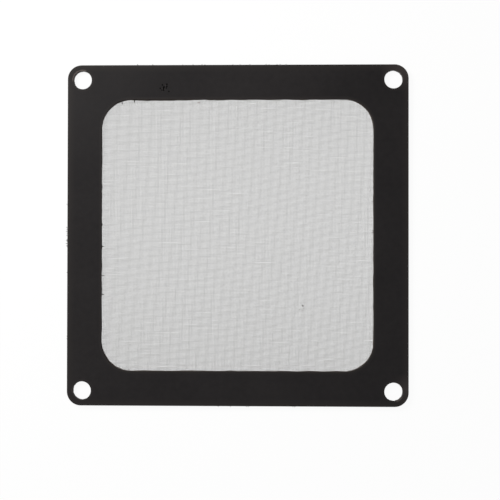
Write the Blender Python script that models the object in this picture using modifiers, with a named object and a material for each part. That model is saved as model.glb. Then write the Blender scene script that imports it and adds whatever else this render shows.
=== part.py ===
"""Fan dust filter for a 92 mm square fan.

A thin black frame is cut from flexible sheet, with a large window, round outer
corners and a screw hole at each corner. A fine woven mesh is glued to its back,
cut to the same outline and the same four holes. The filter lies flat, front
side up, with its centre over the origin and its back at Z = 0.
"""

import math

import bmesh
import bpy
from mathutils import Matrix

# Screw holes, on the square pattern of a 92 mm fan with room to spare, in metres
HOLE_SPACING = 0.0821
HOLE_DIAMETER = 0.0048
HOLE_TO_EDGE = 0.00395

# Outline and the four bars round the window
OUTER_CORNER_RADIUS = 0.0037
BAR_WIDTH = 0.0091
WINDOW_CORNER_RADIUS = 0.0077

# Layers, from the back to the front
MESH_THICKNESS = 0.0003
GLUE_LINE = 0.0003
FRAME_THICKNESS = 0.0008
FRAME_EDGE_RADIUS = 0.00012

# Woven mesh. Each thread stands for four finer threads of the real mesh.
GLUED_BORDER_INSET = 0.0010
THREAD_PITCH = 0.00123
THREAD_WIDTH = 0.00028
THREAD_SIDES = 6
THREAD_END_IN_BORDER = 0.0008
THREAD_SKIN = 0.00001
THREAD_LAYER_GAP = 0.00002

# Straight steps in each rounded corner and hole
OUTER_CORNER_STEPS = 12
WINDOW_CORNER_STEPS = 20
HOLE_STEPS = 48
EDGE_STEPS = 1
WELD_DISTANCE = 0.000001

# Sizes that follow from those above
OUTER_SIDE = HOLE_SPACING + 2 * HOLE_TO_EDGE
WINDOW_SIDE = OUTER_SIDE - 2 * BAR_WIDTH
BORDER_INNER_SIDE = WINDOW_SIDE + 2 * GLUED_BORDER_INSET
BORDER_INNER_RADIUS = WINDOW_CORNER_RADIUS + GLUED_BORDER_INSET
FRAME_BACK = MESH_THICKNESS + GLUE_LINE
FRAME_MIDDLE = FRAME_BACK + FRAME_THICKNESS / 2
THREAD_HEIGHT = (MESH_THICKNESS - THREAD_LAYER_GAP) / 2 - THREAD_SKIN
WEFT_LEVEL = THREAD_SKIN + THREAD_HEIGHT / 2
WARP_LEVEL = MESH_THICKNESS - WEFT_LEVEL
THREAD_LENGTH = BORDER_INNER_SIDE + 2 * THREAD_END_IN_BORDER


def clear_scene():
    for old in list(bpy.data.objects):
        bpy.data.objects.remove(old, do_unlink=True)


def new_collection(name):
    collection = bpy.data.collections.new(name)
    bpy.context.scene.collection.children.link(collection)
    return collection


def material(name, colour, roughness, metallic=0.0):
    made = bpy.data.materials.new(name)
    made.use_nodes = True
    shader = made.node_tree.nodes["Principled BSDF"]
    shader.inputs["Base Color"].default_value = (*colour, 1.0)
    shader.inputs["Roughness"].default_value = roughness
    shader.inputs["Metallic"].default_value = metallic
    made.diffuse_color = (*colour, 1.0)
    return made


def rounded_square(side, radius, steps):
    """Points of a square with round corners, anticlockwise, as (x, y)."""
    reach = side / 2 - radius
    points = []
    for corner in range(4):
        start = corner * math.pi / 2
        middle = start + math.pi / 4
        centre_x = reach * math.copysign(1, math.cos(middle))
        centre_y = reach * math.copysign(1, math.sin(middle))
        for step in range(steps + 1):
            angle = start + step / steps * math.pi / 2
            x = centre_x + radius * math.cos(angle)
            y = centre_y + radius * math.sin(angle)
            points.append((x, y))
    return points


def circle(centre_x, centre_y, diameter, steps):
    """Points of a circle, anticlockwise, as (x, y)."""
    turns = [2 * math.pi * step / steps for step in range(steps)]
    radius = diameter / 2
    return [(centre_x + radius * math.cos(a), centre_y + radius * math.sin(a)) for a in turns]


def screw_holes():
    """The outlines of the four screw holes."""
    offset = HOLE_SPACING / 2
    corners = [(x, y) for x in (-offset, offset) for y in (-offset, offset)]
    return [circle(x, y, HOLE_DIAMETER, HOLE_STEPS) for x, y in corners]


def flat_plate(name, outline, cut_outs, thickness, edge_radius=0.0):
    """A plate from closed outlines, centred on its own Z = 0, with its edges rounded by edge_radius."""
    shape = bpy.data.curves.new(name, "CURVE")
    shape.dimensions = "2D"
    shape.fill_mode = "BOTH"
    shape.extrude = thickness / 2 - edge_radius
    shape.bevel_depth = edge_radius
    shape.bevel_resolution = EDGE_STEPS
    shape.offset = -edge_radius
    for points in [outline] + [cut_out[::-1] for cut_out in cut_outs]:
        spline = shape.splines.new("POLY")
        spline.points.add(len(points) - 1)
        for point, (x, y) in zip(spline.points, points):
            point.co = (x, y, 0.0, 1.0)
        spline.use_cyclic_u = True
    return bpy.data.objects.new(name, shape)


def as_mesh(curve_object, collection):
    """Replaces a curve object by a mesh object of the same shape, with its caps welded on."""
    curve_name = curve_object.name
    collection.objects.link(curve_object)
    bpy.context.view_layer.update()
    evaluated = curve_object.evaluated_get(bpy.context.evaluated_depsgraph_get())
    data = bpy.data.meshes.new_from_object(evaluated)
    place = curve_object.matrix_world.copy()
    bpy.data.objects.remove(curve_object, do_unlink=True)
    work = bmesh.new()
    work.from_mesh(data)
    bmesh.ops.remove_doubles(work, verts=work.verts, dist=WELD_DISTANCE)
    bmesh.ops.recalc_face_normals(work, faces=work.faces)
    work.to_mesh(data)
    work.free()
    data.name = curve_name
    solid = bpy.data.objects.new(curve_name, data)
    solid.matrix_world = place
    collection.objects.link(solid)
    return solid


def build_frame(collection):
    """The die-cut frame: one plate with the window and the four screw holes."""
    outline = rounded_square(OUTER_SIDE, OUTER_CORNER_RADIUS, OUTER_CORNER_STEPS)
    window = rounded_square(WINDOW_SIDE, WINDOW_CORNER_RADIUS, WINDOW_CORNER_STEPS)
    cut_outs = [window] + screw_holes()
    plate = flat_plate("frame", outline, cut_outs, FRAME_THICKNESS, FRAME_EDGE_RADIUS)
    plate.location.z = FRAME_MIDDLE
    frame = as_mesh(plate, collection)
    frame.data.materials.append(material("frame_black", (0.022, 0.021, 0.020), 0.62))
    frame.data.set_sharp_from_angle(angle=math.radians(50))
    frame.data.shade_smooth()
    return frame


def thread_layer(name, level, turn, collection):
    """Parallel threads over the window, side by side along X and then turned about Z, at one level of the weave."""
    gaps = round(BORDER_INNER_SIDE / THREAD_PITCH)
    pitch = BORDER_INNER_SIDE / gaps
    data = bpy.data.meshes.new(name)
    work = bmesh.new()
    bmesh.ops.create_cone(
        work,
        cap_ends=True,
        segments=THREAD_SIDES,
        radius1=0.5,
        radius2=0.5,
        depth=THREAD_LENGTH,
        matrix=Matrix.Rotation(math.pi / 2, 4, "X"),
    )
    section_height = max(v.co.z for v in work.verts) - min(v.co.z for v in work.verts)
    section_width = max(v.co.x for v in work.verts) - min(v.co.x for v in work.verts)
    flatten = (THREAD_WIDTH / section_width, 1.0, THREAD_HEIGHT / section_height)
    bmesh.ops.scale(work, vec=flatten, verts=work.verts)
    first = (-pitch * (gaps - 2) / 2, 0.0, 0.0)
    bmesh.ops.translate(work, vec=first, verts=work.verts)
    work.to_mesh(data)
    work.free()
    threads = bpy.data.objects.new(name, data)
    threads.location.z = level
    threads.rotation_euler.z = turn
    row = threads.modifiers.new("row of threads", "ARRAY")
    row.count = gaps - 1
    row.use_relative_offset = False
    row.use_constant_offset = True
    row.constant_offset_displace = (pitch, 0.0, 0.0)
    threads.display_type = "WIRE"
    threads.hide_render = True
    collection.objects.link(threads)
    return threads


def build_filter_mesh(collection, cutters):
    """The woven mesh: its glued border, and the crossing threads that span the window."""
    outline = rounded_square(OUTER_SIDE, OUTER_CORNER_RADIUS, OUTER_CORNER_STEPS)
    inner = rounded_square(BORDER_INNER_SIDE, BORDER_INNER_RADIUS, WINDOW_CORNER_STEPS)
    border = flat_plate("filter_mesh", outline, [inner] + screw_holes(), MESH_THICKNESS)
    border.location.z = MESH_THICKNESS / 2
    mesh = as_mesh(border, collection)
    weft = thread_layer("weft_threads", WEFT_LEVEL, math.pi / 2, cutters)
    warp = thread_layer("warp_threads", WARP_LEVEL, 0.0, cutters)
    for threads in (weft, warp):
        join = mesh.modifiers.new("join " + threads.name, "BOOLEAN")
        join.operation = "UNION"
        join.solver = "EXACT"
        join.object = threads
    mesh.data.materials.append(material("mesh_black", (0.030, 0.030, 0.030), 0.55))
    return mesh


def build():
    clear_scene()
    parts = new_collection("fan_dust_filter")
    cutters = new_collection("cutters")
    build_frame(parts)
    build_filter_mesh(parts, cutters)
    bpy.context.view_layer.update()


build()
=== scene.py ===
"""Looks of the fan dust filter, in metres and in the frame of its CAD.

The filter lies flat with its front side up: the woven mesh at the bottom, a film of
glue over the mesh's border, and the black frame on top of both.
"""

import math

import bmesh
import bpy
import numpy as np
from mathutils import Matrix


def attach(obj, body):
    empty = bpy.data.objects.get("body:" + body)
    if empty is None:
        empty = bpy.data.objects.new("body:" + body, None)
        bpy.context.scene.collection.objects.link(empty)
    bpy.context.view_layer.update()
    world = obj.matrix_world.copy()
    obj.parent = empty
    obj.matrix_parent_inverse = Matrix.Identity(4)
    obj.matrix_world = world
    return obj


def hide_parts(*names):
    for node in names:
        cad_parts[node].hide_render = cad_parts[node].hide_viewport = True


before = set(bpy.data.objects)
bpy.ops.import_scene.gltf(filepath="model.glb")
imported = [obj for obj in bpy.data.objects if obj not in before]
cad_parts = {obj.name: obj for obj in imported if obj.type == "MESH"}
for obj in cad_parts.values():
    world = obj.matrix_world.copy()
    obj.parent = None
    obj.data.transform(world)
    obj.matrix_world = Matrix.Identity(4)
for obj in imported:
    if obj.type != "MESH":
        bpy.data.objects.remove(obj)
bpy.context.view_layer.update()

# Outlines and levels, as in the CAD
OUTER_SIDE = 0.0900
OUTER_CORNER_RADIUS = 0.0037
WINDOW_SIDE = 0.0718
WINDOW_CORNER_RADIUS = 0.0077
HOLE_SPACING = 0.0821
HOLE_DIAMETER = 0.0048
MESH_TOP = 0.0003
FRAME_BACK = 0.0006
FRAME_TOP = 0.0014

# Woven mesh. Its threads rise and fall by SWING_SHARE of their width as they cross. They are laid out past
# the window by a margin and end THREAD_REACH inside the border. One with too few crossings is left out.
WARP_PITCH = 0.0002968
WEFT_PITCH = 0.0003042
THREAD_WIDTH = 0.0000678
THREAD_SIDES = 3
WEAVE_LEVEL = 0.00015
SWING_SHARE = 0.47
WEAVE_MARGIN = 0.0040
THREAD_REACH = 0.0004
FEWEST_CROSSINGS = 3

# Unevenness of the threads: the spread of their widths, as a share, and that of their places, in pitches.
# Each also wanders in a few waves of this height, in pitches, and between these lengths.
WIDTH_SPREAD = 0.010
SPACING_SPREAD = 0.005
WANDER = 0.012
WANDER_WAVES = 3
WANDER_LENGTHS = (0.002, 0.010)

# How far the cloth is pulled out of a straight even grid, in threads. The keys are powers of x and y,
# which are both 1 at PULL_REACH from the middle.
PULL_REACH = 0.036
PULL_ROUNDS = 4
WARP_PULL = {
    (0, 0): 0.02,
    (0, 1): 1.59,
    (2, 0): 0.64,
    (0, 2): -0.49,
    (3, 0): 0.49,
    (4, 0): -0.98,
    (0, 4): 0.25,
}
WEFT_PULL = {
    (0, 0): 0.22,
    (1, 0): 3.72,
    (2, 0): 2.03,
    (1, 1): 0.61,
    (3, 0): -0.15,
    (4, 0): -1.38,
    (3, 1): -0.83,
}

# About one thread in three is thinner: one in each turn of so many threads, by up to this share of the
# width. MEAN_THINNING is the mean of the curve that they follow. All threads also thicken away from the
# middle, most towards the bottom: by a share of the way down and by one of its square.
WARP_THINNING = (2.87, 0.22)
WEFT_THINNING = (2.61, 0.165)
MEAN_THINNING = 0.375
THICKENING = (0.059, 0.082)

# Gaps where neighbouring threads have slid apart: the place along and across them, half the length, and
# how far each of the two has moved, in pitches. The threads behind them move less. SLIDE_SHARES has each
# thread's number, counted from the first of the two, and its share of the move.
SLIDE_SHARES = ((-1, -0.5), (0, -1.0), (1, 1.0), (2, 0.5))
WEFT_GAPS = (
    (0.0072, -0.0073, 0.0042, 0.165),
    (-0.0295, -0.0283, 0.0030, 0.075),
    (-0.0345, 0.0240, 0.0030, 0.105),
    (0.0069, 0.0232, 0.0030, 0.110),
    (-0.0142, 0.0190, 0.0032, 0.095),
    (0.0249, -0.0007, 0.0032, 0.090),
)
WARP_GAPS = (
    (0.0035, -0.0149, 0.0170, 0.045),
    (0.0172, 0.0062, 0.0160, 0.045),
    (-0.0080, 0.0087, 0.0130, 0.045),
    (-0.0178, 0.0165, 0.0040, 0.085),
    (0.0062, -0.0282, 0.0060, 0.060),
)

# More such gaps are spread by chance: how many, their least and greatest half length, and their least and
# greatest move
WEFT_CHANCE_GAPS = (300, (0.0012, 0.0040), (0.025, 0.115))
WARP_CHANCE_GAPS = (110, (0.0040, 0.0120), (0.012, 0.036))

# Cut outlines of the border and the glue: the distance between points, the number of points round a screw
# hole, and the waves of the slow unevenness, by how many they are and their least and greatest number of
# turns round the outline
OUTLINE_STEP = 0.00030
HOLE_POINTS = 48
OUTLINE_WAVES = 14
OUTLINE_TURNS = (12, 90)

# Glued border of the mesh. It starts behind the frame, BORDER_INSET from the window, and its sides are a
# little shorter than the frame's. An outline's unevenness is slow and fine, and a hole's is one number.
BORDER_INSET = 0.0010
BORDER_SHORTER = 0.0001
BORDER_OUTER_UNEVENNESS = (0.00003, 0.00002)
BORDER_INNER_UNEVENNESS = (0.00005, 0.00003)
BORDER_HOLE_UNEVENNESS = 0.00003
BORDER_ROUNDING = 0.00003

# Film of glue between the border and the frame. LAYER_GAP keeps it clear of both, and the border clear of
# the floor.
LAYER_GAP = 0.00002
GLUE_SHORTER = 0.0003
GLUE_OUTER_UNEVENNESS = (0.00005, 0.00002)
GLUE_INNER_UNEVENNESS = (0.00003, 0.000015)
GLUE_HOLE_WIDER = 0.0001
GLUE_HOLE_UNEVENNESS = 0.00004
GLUE_ROUNDING = 0.00005

# How far the glue reaches into the window past the frame, at the right, left, top and bottom, where less
# than 0 is behind the frame, and where it bulges farther: x, y, half length and reach
GLUE_OVERHANG = (0.00013, -0.00003, 0.00010, 0.00013)
GLUE_BULGES = (
    (-0.0210, 0.0359, 0.0065, 0.00017),
    (-0.0345, -0.0325, 0.0030, 0.00012),
    (-0.0361, 0.0028, 0.0004, 0.00020),
)

# Small dents darkened by painted shade, pale flecks, and broad soft patches of painted light and shade on
# the frame's face: x, y and radius
SHADED_DENTS = (
    (-0.01953, 0.03887, 0.00027),
    (-0.01955, 0.03836, 0.00026),
    (-0.01944, 0.03919, 0.00024),
    (-0.01988, 0.03972, 0.00022),
    (-0.01868, 0.03987, 0.00024),
    (-0.01868, 0.03932, 0.00024),
    (-0.01883, 0.03889, 0.00019),
    (-0.02043, 0.03880, 0.00020),
    (-0.02001, 0.03836, 0.00019),
    (-0.01815, 0.03800, 0.00022),
)
FLECKS = (
    (-0.01905, 0.03959, 0.00020),
    (-0.01990, 0.03864, 0.00022),
    (-0.01923, 0.03864, 0.00022),
)
# Paler patches are painted light
PAINTED_LIGHT_PATCHES = (
    (0.0100, 0.0410, 0.0190),
    (-0.0410, -0.0370, 0.0150),
    (-0.0080, -0.0410, 0.0110),
    (0.0110, -0.0410, 0.0110),
)
# Darker patches are painted shade
PAINTED_SHADE_PATCHES = (
    (-0.0210, 0.0410, 0.0130),
    (0.0380, 0.0410, 0.0150),
    (-0.0410, 0.0160, 0.0300),
)

# Painted highlights: pale arcs beside the screw holes, where their rims catch the light. Each has the
# hole's corner, as the signs of x and y, the direction of the arc's middle and its half angle, in degrees.
# A greater ARC_END_SHARPNESS makes their ends fade faster.
RIM_HIGHLIGHT_ARCS = (
    (-1, 1, 128.0, 62.0),
    (1, -1, 310.0, 32.0),
    (-1, -1, 90.0, 13.0),
    (-1, -1, 180.0, 16.0),
)
RIM_ARC_RADIUS = 0.00260
RIM_ARC_HALF_WIDTH = 0.00024
ARC_END_SHARPNESS = 8.0

# Corners worn paler outside their screw holes: x, y and radius, and how much at the middle
WORN_CORNERS = (
    (0.0432, 0.0436, 0.0060),
    (0.0445, -0.0405, 0.0045),
)
CORNER_WEAR = 0.30

# Loose fibres and glue at the edge of the window: start, end and radius
WINDOW_FIBRES = (
    ((-0.02739, 0.03610), (-0.02739, 0.03505), 0.00018),
    ((-0.03068, 0.03520), (-0.03050, 0.03470), 0.00014),
    ((-0.03630, -0.00300), (-0.03540, -0.00300), 0.00018),
    ((-0.03620, -0.01071), (-0.03520, -0.01071), 0.00013),
    ((-0.03630, -0.01549), (-0.03542, -0.01578), 0.00017),
    ((-0.03150, -0.03520), (-0.03108, -0.03480), 0.00009),
    ((-0.02876, -0.03600), (-0.02872, -0.03540), 0.00014),
    ((-0.01456, -0.03610), (-0.01456, -0.03552), 0.00012),
    ((0.03610, 0.00897), (0.03548, 0.00897), 0.00016),
    ((0.03610, 0.00131), (0.03556, 0.00131), 0.00013),
    ((0.03610, 0.00076), (0.03542, 0.00076), 0.00017),
)
FIBRE_LEVEL = 0.00040

# A fibre's radius at the points along it, as a share
FIBRE_TAPER = (1.0, 1.0, 0.95, 0.8, 0.35)

# Ends of threads that stick out of the cut edge. The farthest ones are given by their place along each
# side and their reach, and short ones stand all round.
LEFT_ENDS = (
    (0.00818, 0.00042),
    (0.00206, 0.00054),
    (0.00152, 0.00050),
    (0.00099, 0.00060),
    (0.00046, 0.00044),
    (-0.00008, 0.00052),
    (-0.00114, 0.00044),
    (-0.00141, 0.00060),
    (-0.00167, 0.00044),
    (-0.00221, 0.00066),
    (-0.00274, 0.00052),
    (-0.00300, 0.00042),
    (-0.00993, 0.00040),
    (-0.02680, 0.00038),
    (-0.02750, 0.00038),
)
TOP_ENDS = (
    (-0.0266, 0.00048),
    (-0.0226, 0.00042),
    (-0.0146, 0.00038),
    (-0.0119, 0.00042),
    (-0.0095, 0.00044),
    (-0.0087, 0.00040),
    (-0.0013, 0.00040),
    (0.0006, 0.00040),
    (0.0032, 0.00044),
    (0.0075, 0.00044),
    (0.0083, 0.00038),
    (0.0104, 0.00042),
    (0.0112, 0.00042),
    (0.0128, 0.00038),
)
BOTTOM_ENDS = (
    (-0.0050, 0.00032),
    (-0.0018, 0.00033),
    (0.0025, 0.00036),
    (0.0030, 0.00035),
    (0.0147, 0.00035),
    (0.0152, 0.00038),
)
LONG_END_RADIUS = 0.00012
SHORT_END_RADIUS = 0.8 * THREAD_WIDTH
SHORT_END_REACH = 0.00007
END_ROOT = 0.0003

# Specks of dust on the mesh: x, y, half length and half width
DUST = (
    (0.01726, -0.01860, 0.00026, 0.00016),
    (0.01727, -0.01984, 0.00011, 0.00008),
    (0.01750, -0.01931, 0.00011, 0.00008),
    (0.01642, -0.01960, 0.00009, 0.00008),
)
DUST_UNEVENNESS = 0.18

# A short hair on the mesh: its two ends and its radius, and how far its middle lies aside
HAIR = ((-0.01066, 0.03516), (-0.00990, 0.03518), 0.00009)
HAIR_BEND = 0.00004

# Noises of the materials: scale per metre, detail and roughness
SHEET_GRAIN = (7000.0, 3.0, 0.60)
SHEET_MOTTLING = (620.0, 4.0, 0.55)
SHEET_CLOUDS = (48.0, 2.0, 0.50)
BORDER_PATCHES = (260.0, 3.0, 0.50)
GLUE_PATCHES = (900.0, 4.0, 0.60)
THREAD_PATCHES = (1500.0, 2.0, 0.50)
DUST_PATCHES = (5000.0, 3.0, 0.50)

# Parts of a noise's range over which colour and gloss change
WIDE_CHANGE = (0.30, 0.70)
NARROW_CHANGE = (0.35, 0.65)

# Bumps: strength and height
SHEET_BUMP = (0.35, 0.00003)
BORDER_BUMP = (0.70, 0.00004)
GLUE_BUMP = (0.50, 0.00003)
DUST_BUMP = (0.60, 0.00002)

# Roughness: from and to, or one number
SHEET_ROUGHNESS = (0.50, 0.60)
BORDER_ROUGHNESS = (0.38, 0.60)
GLUE_ROUGHNESS = (0.30, 0.55)
THREAD_ROUGHNESS = 0.5
DUST_ROUGHNESS = 0.9
SHEET_SPECULAR = 0.08

# Colours
SHEET_DARK = (0.0106, 0.0095, 0.0100)
SHEET_PALE = (0.0173, 0.0156, 0.0160)
# Pale colour of the flecks, and of the painted highlight along the cut edges
SHEET_FLECK_AND_HIGHLIGHT = (0.0250, 0.0220, 0.0206)
# Pale colour of the worn corners, and of the painted highlights on the screw holes' rims
SHEET_SCUFF_AND_HIGHLIGHT = (0.0900, 0.0740, 0.0700)
# Painted shade inside the dents
SHEET_DENT_SHADE = (0.0015, 0.0015, 0.0015)
BORDER_GLUE_COLOURS = ((0.020, 0.016, 0.013), (0.034, 0.028, 0.022))
BORDER_THREAD_COLOUR = (0.026, 0.026, 0.025)
GLUE_COLOURS = ((0.030, 0.021, 0.015), (0.075, 0.055, 0.042))
THREAD_COLOURS = ((0.032, 0.031, 0.023), (0.050, 0.048, 0.037))
DUST_COLOURS = ((0.030, 0.028, 0.026), (0.070, 0.065, 0.060))
HAIR_COLOURS = ((0.130, 0.030, 0.030), (0.170, 0.050, 0.045))

# The sheet's tone is half mottling and half clouds, and the patches of painted light and shade raise or
# lower it by PATCH_TONE
TONE_SHARE = 0.5
PATCH_TONE = 0.16

# Painted highlight along the cut edges, where their rounding catches the light: its width and how it fades,
# how far its edge wobbles, and how much faster it fades from the window and the holes than from the outline
EDGE_HIGHLIGHT_WIDTH = 0.0020
EDGE_HIGHLIGHT_FADING = ((0.0, 1.0), (0.25, 0.45), (1.0, 0.0))
EDGE_HIGHLIGHT_WOBBLE = 0.0004
INNER_EDGE_HIGHLIGHT_FADING = 2.5

# Ragged edges of the dents, flecks and arcs: noise scale and shift
DENT_RAGGEDNESS = (6000.0, 0.00016)
ARC_RAGGEDNESS = (1800.0, 0.00020)

# Flecks and dents: their fall to 0 is multiplied by this and cut off at 1, which makes their middles full
FLECK_STRENGTH = 1.6
DENT_STRENGTH = 5.0

# How much the mottling and the dents add to the relief of the grain
MOTTLING_RELIEF = 0.6
DENT_RELIEF = -2.0

# Weave in the border: the part of the threads' waves over which their colour takes over from the glue's.
# The wave node repeats after WAVE_NODE_LENGTH at a scale of 1.
WEAVE_CHANGE = (0.55, 0.85)
WAVE_NODE_LENGTH = math.pi / 10

# Camera, as seen from the middle of the frame's front face, and its turn in degrees
CAMERA_OFFSET = (0.011764, -0.007406, 0.299722)
CAMERA_TURN = (0.674, 1.606, 0.091)
CAMERA_LENS = 82.0
SENSOR_WIDTH = 36.0

# Studio: white surroundings for the camera, plain light for everything else
SURROUNDING_LIGHT = 0.25
FLOOR_SIDE = 4.0
FLOOR_WHITE = (0.97, 0.97, 0.97, 1.0)
FLOOR_GLOW_SHARE = 0.94

# Soft lamps: name, place, side, power and colour
LAMPS = (
    ("key_lamp", (-0.140, 0.115, 0.165), 0.10, 0.57, (1.0, 0.985, 0.960)),
    ("fill_lamp", (0.00, -0.42, 0.35), 0.40, 0.45, (0.96, 0.98, 1.0)),
)

random = np.random.default_rng(90)


# Node helpers

def feed(tree, node, inputs):
    """Sets a node's inputs, each by its name or number, to a value or to the socket that feeds it."""
    for name, value in inputs.items():
        if isinstance(value, bpy.types.NodeSocket):
            tree.links.new(value, node.inputs[name])
        else:
            node.inputs[name].default_value = value


def add_node(tree, kind, inputs=None, **settings):
    """Adds a node with its settings and inputs."""
    node = tree.nodes.new(kind)
    for name, value in settings.items():
        setattr(node, name, value)
    feed(tree, node, inputs or {})
    return node


def calculate(tree, operation, *values, clamp=False):
    """A Math node's result."""
    inputs = dict(enumerate(values))
    return add_node(tree, "ShaderNodeMath", inputs, operation=operation, use_clamp=clamp).outputs[0]


def vector_step(tree, operation, *values):
    """A Vector Math node's result as a vector."""
    inputs = dict(enumerate(values))
    return add_node(tree, "ShaderNodeVectorMath", inputs, operation=operation).outputs[0]


def vector_number(tree, operation, *values):
    """A Vector Math node's result as a number."""
    inputs = dict(enumerate(values))
    return add_node(tree, "ShaderNodeVectorMath", inputs, operation=operation).outputs["Value"]


def noise(tree, place, scale, detail, roughness):
    """A noise from 0 to 1."""
    inputs = {"Vector": place, "Scale": scale, "Detail": detail, "Roughness": roughness}
    return add_node(tree, "ShaderNodeTexNoise", inputs).outputs["Fac"]


def ramp(tree, factor, stops):
    """Colours along a factor. Each stop is a position and a grey level or colour."""
    node = add_node(tree, "ShaderNodeValToRGB", {"Fac": factor})
    elements = node.color_ramp.elements
    while len(elements) < len(stops):
        elements.new(0.5)
    for element, (position, value) in zip(elements, stops):
        colour = value if isinstance(value, tuple) else (value, value, value)
        element.position = position
        element.color = (*colour, 1.0)
    return node.outputs["Color"]


def change(tree, factor, part, values):
    """A change from the first value to the second over a part of the factor's range."""
    return ramp(tree, factor, list(zip(part, values)))


def mix_colours(tree, factor, first, second):
    """The first colour where the factor is 0, and the second where it is 1."""
    inputs = {0: factor}
    for number, colour in ((6, first), (7, second)):
        inputs[number] = (*colour, 1.0) if isinstance(colour, tuple) else colour
    return add_node(tree, "ShaderNodeMix", inputs, data_type="RGBA").outputs[2]


def relief_normal(tree, height, strength, distance):
    """The normal of a surface with this relief."""
    inputs = {"Strength": strength, "Distance": distance, "Height": height}
    return add_node(tree, "ShaderNodeBump", inputs).outputs["Normal"]


def new_material(name):
    """A new material, its node tree, its shader and the object's own coordinates."""
    made = bpy.data.materials.new(name)
    made.use_nodes = True
    tree = made.node_tree
    shader = tree.nodes["Principled BSDF"]
    place = add_node(tree, "ShaderNodeTexCoord").outputs["Object"]
    return made, tree, shader, place


def spots(tree, place, places):
    """1 in the middle of each round spot on the frame's face, falling to 0 at its radius."""
    total = 0.0
    for x, y, radius in places:
        offset = vector_step(tree, "SUBTRACT", place, (x, y, FRAME_TOP))
        length = vector_number(tree, "LENGTH", offset)
        closeness = calculate(tree, "MULTIPLY_ADD", length, -1 / radius, 1.0, clamp=True)
        total = calculate(tree, "MAXIMUM", total, closeness)
    return total


def rim_highlight_arcs(tree, place):
    """1 along the middle of each painted highlight arc beside a screw hole, and 0 away from it."""
    total = 0.0
    for corner_x, corner_y, middle, half_angle in RIM_HIGHLIGHT_ARCS:
        centre = (corner_x * HOLE_SPACING / 2, corner_y * HOLE_SPACING / 2, FRAME_TOP)
        offset = vector_step(tree, "SUBTRACT", place, centre)
        length = vector_number(tree, "LENGTH", offset)
        off_arc = calculate(tree, "ABSOLUTE", calculate(tree, "SUBTRACT", length, RIM_ARC_RADIUS))
        ring = calculate(tree, "MULTIPLY_ADD", off_arc, -1 / RIM_ARC_HALF_WIDTH, 1.0, clamp=True)
        direction = vector_step(tree, "NORMALIZE", offset)
        turn = math.radians(middle)
        towards_middle = (math.cos(turn), math.sin(turn), 0.0)
        alike = vector_number(tree, "DOT_PRODUCT", direction, towards_middle)
        beyond = calculate(tree, "SUBTRACT", alike, math.cos(math.radians(half_angle)))
        sector = calculate(tree, "MULTIPLY", beyond, ARC_END_SHARPNESS, clamp=True)
        total = calculate(tree, "MAXIMUM", total, calculate(tree, "MULTIPLY", ring, sector))
    return total


def warped(tree, place, scale, amount):
    """The place, shifted about by a noise, so that what is drawn with it gets ragged edges."""
    node = add_node(tree, "ShaderNodeTexNoise", {"Vector": place, "Scale": scale, "Detail": 2.0})
    centred = vector_step(tree, "SUBTRACT", node.outputs["Color"], (0.5, 0.5, 0.5))
    shift = vector_step(tree, "MULTIPLY", centred, (amount, amount, 0.0))
    return vector_step(tree, "ADD", place, shift)


def folded(tree, place):
    """How far a place is from the middle along x and y, without its height."""
    flat = vector_step(tree, "MULTIPLY", place, (1.0, 1.0, 0.0))
    return vector_step(tree, "ABSOLUTE", flat)


def rounded_square_distance(tree, place, side, radius):
    """Distance of a place from a square's outline with round corners. Inside it is negative."""
    reach = side / 2 - radius
    beyond = vector_step(tree, "SUBTRACT", folded(tree, place), (reach, reach, 0.0))
    outside = vector_step(tree, "MAXIMUM", beyond, (0.0, 0.0, 0.0))
    length = vector_number(tree, "LENGTH", outside)
    parts = add_node(tree, "ShaderNodeSeparateXYZ", {0: beyond})
    deepest = calculate(tree, "MAXIMUM", parts.outputs["X"], parts.outputs["Y"])
    inner = calculate(tree, "MINIMUM", deepest, 0.0)
    return calculate(tree, "SUBTRACT", calculate(tree, "ADD", length, inner), radius)


def hole_distance(tree, place):
    """Distance of a place from the rim of the nearest screw hole. Inside it is negative."""
    centre = (HOLE_SPACING / 2, HOLE_SPACING / 2, 0.0)
    from_centre = vector_step(tree, "SUBTRACT", folded(tree, place), centre)
    length = vector_number(tree, "LENGTH", from_centre)
    return calculate(tree, "SUBTRACT", length, HOLE_DIAMETER / 2)


def edge_distance(tree, place):
    """Distance of a place on the frame from the nearest cut edge.

    From the window and the holes it counts for more, so that the painted edge highlight reaches less far
    there.
    """
    outer_distance = rounded_square_distance(tree, place, OUTER_SIDE, OUTER_CORNER_RADIUS)
    window_distance = rounded_square_distance(tree, place, WINDOW_SIDE, WINDOW_CORNER_RADIUS)
    outer = calculate(tree, "ABSOLUTE", outer_distance)
    window = calculate(tree, "ABSOLUTE", window_distance)
    hole = calculate(tree, "ABSOLUTE", hole_distance(tree, place))
    inner = calculate(tree, "MULTIPLY", calculate(tree, "MINIMUM", window, hole), INNER_EDGE_HIGHLIGHT_FADING)
    return calculate(tree, "MINIMUM", outer, inner)


# Materials

def sheet_tone_and_light(tree, place, mottling):
    """How pale the frame's sheet is, from 0 to 1: mottling and clouds, with soft patches of painted light
    and shade.
    """
    clouds = noise(tree, place, *SHEET_CLOUDS)
    mottling_part = calculate(tree, "MULTIPLY", mottling, TONE_SHARE)
    tone = calculate(tree, "MULTIPLY_ADD", clouds, TONE_SHARE, mottling_part)
    # Painted light and shade in broad patches
    tone = calculate(tree, "MULTIPLY_ADD", spots(tree, place, PAINTED_LIGHT_PATCHES), PATCH_TONE, tone)
    return calculate(tree, "MULTIPLY_ADD", spots(tree, place, PAINTED_SHADE_PATCHES), -PATCH_TONE, tone)


def edge_highlight(tree, place, mottling):
    """How bright the painted highlight along the cut edges is: 1 at a cut edge, falling to 0 away from it.
    """
    wobble = calculate(tree, "MULTIPLY", calculate(tree, "SUBTRACT", mottling, 0.5), EDGE_HIGHLIGHT_WOBBLE)
    distance = calculate(tree, "ADD", edge_distance(tree, place), wobble)
    return ramp(tree, calculate(tree, "MULTIPLY", distance, 1 / EDGE_HIGHLIGHT_WIDTH), EDGE_HIGHLIGHT_FADING)


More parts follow.
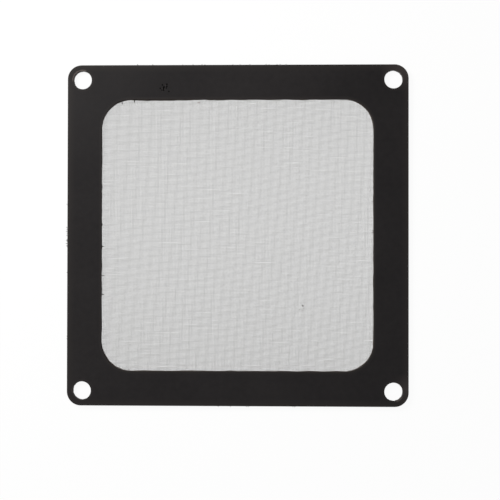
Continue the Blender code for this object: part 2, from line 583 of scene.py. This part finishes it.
def frame_material():
    """Matt black flexible sheet: fine grain, faint mottling, a few marks, broad patches of painted light
    and shade, a painted highlight along its cut edges and on the screw holes' rims, and painted shade in
    its dent marks.
    """
    made, tree, shader, place = new_material("matt_black_sheet")
    grain = noise(tree, place, *SHEET_GRAIN)
    mottling = noise(tree, place, *SHEET_MOTTLING)
    sheet = change(tree, sheet_tone_and_light(tree, place, mottling), WIDE_CHANGE, (SHEET_DARK, SHEET_PALE))
    # Painted highlight along the cut edges
    edge_lit = mix_colours(tree, edge_highlight(tree, place, mottling), sheet, SHEET_FLECK_AND_HIGHLIGHT)
    # Painted highlights on the screw holes' rims
    rim_highlights = rim_highlight_arcs(tree, warped(tree, place, *ARC_RAGGEDNESS))
    corners = calculate(tree, "MULTIPLY", spots(tree, place, WORN_CORNERS), CORNER_WEAR)
    scuffs_and_highlights = mix_colours(tree, calculate(tree, "MAXIMUM", rim_highlights, corners), edge_lit, SHEET_SCUFF_AND_HIGHLIGHT)
    ragged = warped(tree, place, *DENT_RAGGEDNESS)
    flecks = calculate(tree, "MULTIPLY", spots(tree, ragged, FLECKS), FLECK_STRENGTH, clamp=True)
    flecked = mix_colours(tree, flecks, scuffs_and_highlights, SHEET_FLECK_AND_HIGHLIGHT)
    # Painted shade in the dents, where they sink below the face
    shaded_dents = calculate(tree, "MULTIPLY", spots(tree, ragged, SHADED_DENTS), DENT_STRENGTH, clamp=True)
    relief = calculate(tree, "ADD", grain, calculate(tree, "MULTIPLY", mottling, MOTTLING_RELIEF))
    dented_relief = calculate(tree, "MULTIPLY_ADD", shaded_dents, DENT_RELIEF, relief)
    feed(tree, shader, {
        "Base Color": mix_colours(tree, shaded_dents, flecked, SHEET_DENT_SHADE),
        # Black metal doesn't shine, so the painted shade in the dents stays dark, without the sheet's sheen
        "Metallic": shaded_dents,
        "Roughness": change(tree, mottling, WIDE_CHANGE, SHEET_ROUGHNESS),
        "Specular IOR Level": SHEET_SPECULAR,
        "Normal": relief_normal(tree, dented_relief, *SHEET_BUMP),
    })
    return made


def weave_wave(tree, place, direction, pitch):
    """A wave across the threads of one direction, from 0 to 1."""
    inputs = {"Vector": place, "Scale": WAVE_NODE_LENGTH / pitch, "Distortion": 0.0}
    settings = {"wave_type": "BANDS", "bands_direction": direction, "wave_profile": "SIN"}
    return add_node(tree, "ShaderNodeTexWave", inputs, **settings).outputs["Fac"]


def border_material():
    """The glued border of the mesh: threads in relief, filled with dark glue."""
    made, tree, shader, place = new_material("glued_weave")
    warp = weave_wave(tree, place, "X", WARP_PITCH)
    weft = weave_wave(tree, place, "Y", WEFT_PITCH)
    threads = calculate(tree, "MAXIMUM", warp, weft)
    patches = noise(tree, place, *BORDER_PATCHES)
    glue_colour = change(tree, patches, NARROW_CHANGE, BORDER_GLUE_COLOURS)
    bare = change(tree, threads, WEAVE_CHANGE, (0.0, 1.0))
    feed(tree, shader, {
        "Base Color": mix_colours(tree, bare, glue_colour, BORDER_THREAD_COLOUR),
        "Roughness": change(tree, patches, WIDE_CHANGE, BORDER_ROUGHNESS),
        "Normal": relief_normal(tree, threads, *BORDER_BUMP),
    })
    return made


def glue_material():
    """Dark brown glue, uneven and a little glossy."""
    made, tree, shader, place = new_material("brown_glue")
    patches = noise(tree, place, *GLUE_PATCHES)
    feed(tree, shader, {
        "Base Color": change(tree, patches, WIDE_CHANGE, GLUE_COLOURS),
        "Roughness": change(tree, patches, WIDE_CHANGE, GLUE_ROUGHNESS),
        "Normal": relief_normal(tree, patches, *GLUE_BUMP),
    })
    return made


def thread_material():
    """Fine black synthetic thread, a little uneven in tone."""
    made, tree, shader, place = new_material("black_thread")
    patches = noise(tree, place, *THREAD_PATCHES)
    feed(tree, shader, {
        "Base Color": change(tree, patches, WIDE_CHANGE, THREAD_COLOURS),
        "Roughness": THREAD_ROUGHNESS,
    })
    return made


def dust_material(name, colours):
    """Dull dust or hair, blotched between two colours."""
    made, tree, shader, place = new_material(name)
    patches = noise(tree, place, *DUST_PATCHES)
    feed(tree, shader, {
        "Base Color": change(tree, patches, NARROW_CHANGE, colours),
        "Roughness": DUST_ROUGHNESS,
        "Normal": relief_normal(tree, patches, *DUST_BUMP),
    })
    return made


# Objects

def add_object(name, data):
    """An object of the scene that holds the data."""
    added = bpy.data.objects.new(name, data)
    bpy.context.scene.collection.objects.link(added)
    return added


def add_piece(name, vertices, faces, made, smooth=True):
    """A mesh object with its one material."""
    data = bpy.data.meshes.new(name)
    data.from_pydata(vertices, [], faces)
    data.materials.append(made)
    if smooth:
        data.shade_smooth()
    data.update()
    return add_object(name, data)


# Woven mesh

def pulled(x, y, pull):
    """How many threads the cloth is pulled aside at a place."""
    across, upward = x / PULL_REACH, y / PULL_REACH
    return sum(threads * across ** m * upward ** n for (m, n), threads in pull.items())


def wander(along, shape):
    """How far each thread strays from its place along its own length, in pitches."""
    strayed = 0.0
    for _ in range(WANDER_WAVES):
        wave = 2 * math.pi / random.uniform(*WANDER_LENGTHS, shape)
        phase = random.uniform(0, 2 * math.pi, shape)
        strayed = strayed + WANDER * np.sin(wave * along + phase)
    return strayed + SPACING_SPREAD * random.standard_normal(shape)


def crossings():
    """Where the threads cross: x and y of each crossing, by warp thread and then by weft thread."""
    reach = WINDOW_SIDE / 2 + WEAVE_MARGIN
    warp_half = math.ceil(reach / WARP_PITCH)
    weft_half = math.ceil(reach / WEFT_PITCH)
    warp_number = np.arange(-warp_half, warp_half + 1)[:, None]
    weft_number = np.arange(-weft_half, weft_half + 1)[None, :]
    even_x, even_y = np.broadcast_arrays(WARP_PITCH * warp_number, WEFT_PITCH * weft_number)
    warp_strayed = wander(even_y, warp_number.shape)
    weft_strayed = wander(even_x, weft_number.shape)
    x, y = even_x, even_y
    # The pull at a crossing depends on its place, so that is found in a few rounds
    for _ in range(PULL_ROUNDS):
        x, y = (
            WARP_PITCH * (warp_number - pulled(x, y, WARP_PULL) + warp_strayed),
            WEFT_PITCH * (weft_number - pulled(x, y, WEFT_PULL) + weft_strayed),
        )
    return x, y


def open_gaps(moved, along, pitch, gaps):
    """Moves the threads beside each gap apart. Each column of moved is one thread's place across."""
    for place_along, place_across, half_length, share in gaps:
        nearest = np.argmin(np.hypot(along - place_along, moved - place_across))
        row, column = np.unravel_index(nearest, moved.shape)
        first = column if moved[row, column] <= place_across else column - 1
        closeness = np.clip(1 - ((along[:, first] - place_along) / half_length) ** 2, 0, 1)
        for offset, part in SLIDE_SHARES:
            moved[:, first + offset] += part * share * pitch * closeness


def chance_gaps(count, half_lengths, shares):
    """Gaps spread by chance over the window."""
    places = random.uniform(-WINDOW_SIDE / 2, WINDOW_SIDE / 2, (count, 2))
    sizes = [random.uniform(*half_lengths, (count, 1)), random.uniform(*shares, (count, 1))]
    return np.hstack([places, *sizes])


def inside_rounded_square(x, y, side, radius):
    """Which places lie in a square with round corners."""
    beyond_x = np.maximum(np.abs(x) - (side / 2 - radius), 0)
    beyond_y = np.maximum(np.abs(y) - (side / 2 - radius), 0)
    return np.hypot(beyond_x, beyond_y) <= radius


def thread_tube(path, radius):
    """Vertices and faces of one closed thread, with a ring of corners at each point of its path.

    The radius is one number, or one for each point.
    """
    along = np.gradient(path, axis=0)
    side = np.stack([along[:, 1], -along[:, 0], np.zeros(len(path))], axis=1)
    side /= np.linalg.norm(side, axis=1)[:, None]
    angles = math.pi / 2 + 2 * math.pi * np.arange(THREAD_SIDES) / THREAD_SIDES
    across = np.cos(angles)[None, :, None] * side[:, None, :]
    upward = np.sin(angles)[None, :, None] * np.array([0.0, 0.0, 1.0])
    radii = np.broadcast_to(radius, len(path))[:, None, None]
    vertices = (path[:, None, :] + radii * (across + upward)).reshape(-1, 3)
    ring = np.arange(len(path) - 1)[:, None] * THREAD_SIDES
    next_ring = ring + THREAD_SIDES
    corner = np.arange(THREAD_SIDES)[None, :]
    following = (corner + 1) % THREAD_SIDES
    quads = [ring + corner, next_ring + corner, next_ring + following, ring + following]
    faces = np.stack(quads, axis=2).reshape(-1, 4).tolist()
    last = len(vertices) - THREAD_SIDES
    faces.append(list(range(THREAD_SIDES)))
    faces.append([last + corner for corner in reversed(range(THREAD_SIDES))])
    return vertices, faces


def joined_tubes(name, paths, radii, made):
    """Tubes along all the paths as one piece."""
    vertices, faces, start = [], [], 0
    for path, radius in zip(paths, radii):
        tube, tube_faces = thread_tube(path, radius)
        vertices.append(tube)
        faces.extend([[start + corner for corner in face] for face in tube_faces])
        start += len(tube)
    return add_piece(name, np.concatenate(vertices), faces, made)


def thread_widths(number, y, thinning):
    """The width of each thread at each crossing, with the thinner threads and each one's unevenness."""
    turn, share = thinning
    thinner = ((1 + np.cos(2 * math.pi * number / turn)) / 2) ** 2
    linear, square = THICKENING
    down = -y / PULL_REACH
    own = WIDTH_SPREAD * np.diff(random.standard_normal(number.size + 1)).reshape(number.shape)
    uneven_width = 1 + share * (MEAN_THINNING - thinner) + own
    return THREAD_WIDTH * uneven_width * (1 + linear * down + square * down ** 2)


def woven_threads(made):
    """The threads over the window, warp and weft, each passing over one and under the next."""
    x, y = crossings()
    open_gaps(y, x, WEFT_PITCH, [*WEFT_GAPS, *chance_gaps(*WEFT_CHANCE_GAPS)])
    open_gaps(x.T, y.T, WARP_PITCH, [*WARP_GAPS, *chance_gaps(*WARP_CHANCE_GAPS)])
    warp_number = np.arange(x.shape[0])[:, None] - x.shape[0] // 2
    weft_number = np.arange(x.shape[1])[None, :] - x.shape[1] // 2
    over = np.where((warp_number + weft_number) % 2 == 0, 1.0, -1.0)
    swing = SWING_SHARE * THREAD_WIDTH
    side = WINDOW_SIDE + 2 * (BORDER_INSET + THREAD_REACH)
    radius = WINDOW_CORNER_RADIUS + BORDER_INSET + THREAD_REACH
    inside = inside_rounded_square(x, y, side, radius)
    warp = np.stack([x, y, WEAVE_LEVEL + swing * over], axis=2)
    weft = np.stack([x, y, WEAVE_LEVEL - swing * over], axis=2).transpose(1, 0, 2)
    warp_width = thread_widths(warp_number, y, WARP_THINNING)
    weft_width = thread_widths(weft_number, y, WEFT_THINNING).T
    # A thread with three sides and a corner on top is this much wider than its radius
    width_to_radius = 1 / (2 * math.cos(math.pi / 6))
    directions = (
        ("warp", warp, warp_width, inside),
        ("weft", weft, weft_width, inside.T),
    )
    pieces = []
    for name, paths, widths, kept in directions:
        shown = np.flatnonzero(kept.sum(axis=1) >= FEWEST_CROSSINGS)
        threads = [paths[number][kept[number]] for number in shown]
        radii = [width_to_radius * widths[number][kept[number]] for number in shown]
        half = len(threads) // 2
        for number, part in ((1, slice(0, half)), (2, slice(half, None))):
            pieces.append(joined_tubes(f"{name}_threads_{number}", threads[part], radii[part], made))
    return pieces


# Border and glue

def rounded_square(side, radius, step):
    """Points on a square with round corners, anticlockwise, and the outward direction at each."""
    reach = side / 2 - radius
    arc_steps = max(3, round(radius * math.pi / 2 / step))
    straight_steps = round(2 * reach / step)
    points, outward = [], []
    for corner in range(4):
        start = corner * math.pi / 2
        middle = start + math.pi / 4
        centre = reach * np.sign([math.cos(middle), math.sin(middle)])
        for turn in range(arc_steps + 1):
            angle = start + turn / arc_steps * math.pi / 2
            direction = np.array([math.cos(angle), math.sin(angle)])
            points.append(centre + radius * direction)
            outward.append(direction)
        along = np.array([-direction[1], direction[0]])
        first = points[-1]
        for count in range(1, straight_steps):
            points.append(first + along * 2 * reach * count / straight_steps)
            outward.append(direction)
    return np.array(points), np.array(outward)


def uneven(points, outward, amount, fine_amount):
    """The same outline with a slow and a fine unevenness in and out."""
    place = np.arange(len(points)) / len(points) * 2 * math.pi
    waves = random.integers(*OUTLINE_TURNS, OUTLINE_WAVES)
    phases = random.uniform(0, 2 * math.pi, OUTLINE_WAVES)
    slow = sum(np.sin(count * place + phase) for count, phase in zip(waves, phases))
    slow = slow / OUTLINE_WAVES ** 0.5
    fine = random.standard_normal(len(points))
    return points + outward * (amount * slow + fine_amount * fine)[:, None]


def screw_holes(diameter, amount):
    """The outlines of the four screw holes, a little uneven."""
    angles = np.linspace(0, 2 * math.pi, HOLE_POINTS, endpoint=False)
    outward = np.stack([np.cos(angles), np.sin(angles)], axis=1)
    outlines = []
    for corner_x in (-1, 1):
        for corner_y in (-1, 1):
            centre = HOLE_SPACING / 2 * np.array([corner_x, corner_y])
            spread = amount * random.standard_normal(len(angles))
            outlines.append(centre + outward * (diameter / 2 + spread)[:, None])
    return outlines


def flat_piece(name, outlines, low, high, edge, made):
    """A flat piece between two levels, filled between its outlines, with its edges rounded."""
    shape = bpy.data.curves.new(name, "CURVE")
    shape.dimensions = "2D"
    shape.fill_mode = "BOTH"
    shape.extrude = (high - low) / 2 - edge
    shape.bevel_depth = edge
    shape.bevel_resolution = 1
    shape.offset = -edge
    for points in outlines:
        spline = shape.splines.new("POLY")
        spline.points.add(len(points) - 1)
        for point, (x, y) in zip(spline.points, points):
            point.co = (x, y, 0.0, 1.0)
        spline.use_cyclic_u = True
    source = add_object(name + "_outline", shape)
    bpy.context.view_layer.update()
    evaluated = source.evaluated_get(bpy.context.evaluated_depsgraph_get())
    data = bpy.data.meshes.new_from_object(evaluated)
    bpy.data.objects.remove(source, do_unlink=True)
    data.name = name
    data.materials.clear()
    data.materials.append(made)
    for vertex in data.vertices:
        vertex.co.z += (low + high) / 2
    return add_object(name, data)


def glued_border(made):
    """The border of the mesh under the frame, cut to the frame's outline and holes."""
    outer_outline = rounded_square(OUTER_SIDE - BORDER_SHORTER, OUTER_CORNER_RADIUS, OUTLINE_STEP)
    outer = uneven(*outer_outline, *BORDER_OUTER_UNEVENNESS)
    inner_side = WINDOW_SIDE + 2 * BORDER_INSET
    inner_outline = rounded_square(inner_side, WINDOW_CORNER_RADIUS + BORDER_INSET, OUTLINE_STEP)
    inner = uneven(*inner_outline, *BORDER_INNER_UNEVENNESS)
    outlines = [outer, inner, *screw_holes(HOLE_DIAMETER, BORDER_HOLE_UNEVENNESS)]
    return flat_piece("mesh_border", outlines, LAYER_GAP, MESH_TOP, BORDER_ROUNDING, made)


def glue_reach(points, outward):
    """How far the glue's inner edge reaches into the window at each point of the window's outline."""
    right, left, top, bottom = GLUE_OVERHANG
    across, upward = outward[:, 0], outward[:, 1]
    reach = right * np.maximum(across, 0) + left * np.maximum(-across, 0)
    reach = reach + top * np.maximum(upward, 0) + bottom * np.maximum(-upward, 0)
    for x, y, half_length, bulge in GLUE_BULGES:
        away = np.hypot(points[:, 0] - x, points[:, 1] - y) / half_length
        reach = reach + bulge * np.exp(-away ** 2)
    return reach


def glue_film(made):
    """The glue between the border and the frame. In places it shows past the frame in the window."""
    outer_outline = rounded_square(OUTER_SIDE - GLUE_SHORTER, OUTER_CORNER_RADIUS, OUTLINE_STEP)
    outer = uneven(*outer_outline, *GLUE_OUTER_UNEVENNESS)
    window, outward = rounded_square(WINDOW_SIDE, WINDOW_CORNER_RADIUS, OUTLINE_STEP)
    glue_edge = window - outward * glue_reach(window, outward)[:, None]
    inner = uneven(glue_edge, outward, *GLUE_INNER_UNEVENNESS)
    holes = screw_holes(HOLE_DIAMETER + GLUE_HOLE_WIDER, GLUE_HOLE_UNEVENNESS)
    low, high = MESH_TOP + LAYER_GAP, FRAME_BACK - LAYER_GAP
    return flat_piece("glue_film", [outer, inner, *holes], low, high, GLUE_ROUNDING, made)


# Loose ends, dust and a hair

def fibre_path(start, end, level):
    """A short straight path at one level, as an array of points."""
    return np.linspace((*start, level), (*end, level), len(FIBRE_TAPER))


def tapered(radius):
    """The radii along a fibre that ends in a blunt point."""
    return radius * np.array(FIBRE_TAPER)


def window_fibres(made):
    """Fibres that stick out from under the frame into the window."""
    paths = [fibre_path(start, end, FIBRE_LEVEL) for start, end, radius in WINDOW_FIBRES]
    radii = [tapered(radius) for start, end, radius in WINDOW_FIBRES]
    return joined_tubes("window_fibres", paths, radii, made)


def cut_end(side, along, reach, upright):
    """The path of a thread's end out of the left or right edge, or the top or bottom one if upright."""
    start = side * (OUTER_SIDE / 2 - END_ROOT)
    end = side * (OUTER_SIDE / 2 + reach)
    if upright:
        return fibre_path((along, start), (along, end), WEAVE_LEVEL)
    return fibre_path((start, along), (end, along), WEAVE_LEVEL)


def cut_ends(made):
    """Ends of threads all round the cut edge of the mesh, and a few longer ones."""
    straight = OUTER_SIDE / 2 - OUTER_CORNER_RADIUS
    paths = []
    for pitch, upright in ((WEFT_PITCH, False), (WARP_PITCH, True)):
        for side in (-1, 1):
            for along in np.arange(-straight, straight, pitch):
                paths.append(cut_end(side, along, random.uniform(0.0, SHORT_END_REACH), upright))
    radii = [tapered(SHORT_END_RADIUS)] * len(paths)
    for side, upright, ends in ((-1, False, LEFT_ENDS), (1, True, TOP_ENDS), (-1, True, BOTTOM_ENDS)):
        for along, reach in ends:
            paths.append(cut_end(side, along, reach, upright))
            radii.append(tapered(LONG_END_RADIUS))
    return joined_tubes("cut_ends", paths, radii, made)


def dust_specks(made):
    """A few crumbs of dust that lie on the mesh."""
    work = bmesh.new()
    for x, y, half_length, half_width in DUST:
        speck = bmesh.ops.create_icosphere(work, subdivisions=2, radius=1.0)["verts"]
        turn = random.uniform(0, math.pi)
        for vertex in speck:
            size = 1 + DUST_UNEVENNESS * random.standard_normal()
            along = vertex.co.x * half_length * size
            across = vertex.co.y * half_width * size
            vertex.co = (
                x + along * math.cos(turn) - across * math.sin(turn),
                y + along * math.sin(turn) + across * math.cos(turn),
                WEAVE_LEVEL + THREAD_WIDTH + half_width * (1 + vertex.co.z * size),
            )
    data = bpy.data.meshes.new("dust")
    work.to_mesh(data)
    work.free()
    data.materials.append(made)
    data.shade_smooth()
    return add_object("dust", data)


def hair(made):
    """A short hair that lies on the mesh, a little bent."""
    start, end, radius = HAIR
    path = fibre_path(start, end, WEAVE_LEVEL + THREAD_WIDTH + radius)
    path[:, 1] += HAIR_BEND * np.sin(np.linspace(0, math.pi, len(path)))
    return joined_tubes("hair", [path], [radius], made)


# Studio

def white_to_the_eye(tree):
    """1 for what the camera, a reflection or glass sees, and 0 for the light that falls on things."""
    path = add_node(tree, "ShaderNodeLightPath")
    seen = calculate(tree, "MAXIMUM", path.outputs["Is Camera Ray"], path.outputs["Is Glossy Ray"])
    return calculate(tree, "MAXIMUM", seen, path.outputs["Is Transmission Ray"])


def build_floor():
    """A plain white floor. Most of its white is its own, and the rest takes light and shadows."""
    half = FLOOR_SIDE / 2
    corners = [(-half, -half, 0.0), (half, -half, 0.0), (half, half, 0.0), (-half, half, 0.0)]
    made = bpy.data.materials.new("white_floor")
    made.use_nodes = True
    tree = made.node_tree
    tree.nodes.clear()
    lit = add_node(tree, "ShaderNodeBsdfDiffuse", {"Color": FLOOR_WHITE})
    glow = add_node(tree, "ShaderNodeEmission", {"Color": (1.0, 1.0, 1.0, 1.0), "Strength": 1.0})
    share = calculate(tree, "MULTIPLY", white_to_the_eye(tree), FLOOR_GLOW_SHARE)
    mixed = add_node(tree, "ShaderNodeMixShader", {0: share, 1: lit.outputs[0], 2: glow.outputs[0]})
    add_node(tree, "ShaderNodeOutputMaterial", {"Surface": mixed.outputs[0]})
    floor = add_piece("floor", corners, [(0, 1, 2, 3)], made, smooth=False)


def build_surroundings():
    """White where the camera sees it, and a soft even light on the object."""
    world = bpy.data.worlds.new("studio")
    world.use_nodes = True
    bpy.context.scene.world = world
    tree = world.node_tree
    levels = ((0.0, SURROUNDING_LIGHT), (1.0, 1.0))
    feed(tree, tree.nodes["Background"], {
        "Color": ramp(tree, white_to_the_eye(tree), levels),
        "Strength": 1.0,
    })


def add_lamp(name, place, side, power, colour):
    """A square soft lamp that faces the middle of the filter."""
    data = bpy.data.lights.new(name, "AREA")
    data.shape = "SQUARE"
    data.size = side
    data.energy = power
    data.color = colour
    lamp = add_object(name, data)
    lamp.location = place
    lamp.rotation_euler = (-lamp.location).to_track_quat("-Z", "Y").to_euler()
    lamp.visible_camera = False


def build_camera():
    """The camera, at the photograph's viewing angle."""
    data = bpy.data.cameras.new("camera")
    data.lens = CAMERA_LENS
    data.sensor_width = SENSOR_WIDTH
    camera = add_object("camera", data)
    x, y, z = CAMERA_OFFSET
    camera.location = (x, y, z + FRAME_TOP)
    camera.rotation_euler = [math.radians(turn) for turn in CAMERA_TURN]
    bpy.context.scene.camera = camera


# The scene

build_camera()
build_floor()
build_surroundings()
for lamp_values in LAMPS:
    add_lamp(*lamp_values)

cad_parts["frame"].material_slots[0].material = frame_material()

thread = thread_material()
mesh_pieces = woven_threads(thread) + [glued_border(border_material())]
for piece in mesh_pieces:
    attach(piece, "root")
    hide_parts("filter_mesh")

glue = glue_material()
loose_pieces = [
    glue_film(glue),
    window_fibres(glue),
    cut_ends(thread),
    dust_specks(dust_material("grey_dust", DUST_COLOURS)),
    hair(dust_material("dark_hair", HAIR_COLOURS)),
]
for piece in loose_pieces:
    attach(piece, "root")

bpy.context.scene.view_settings.view_transform = "Standard"
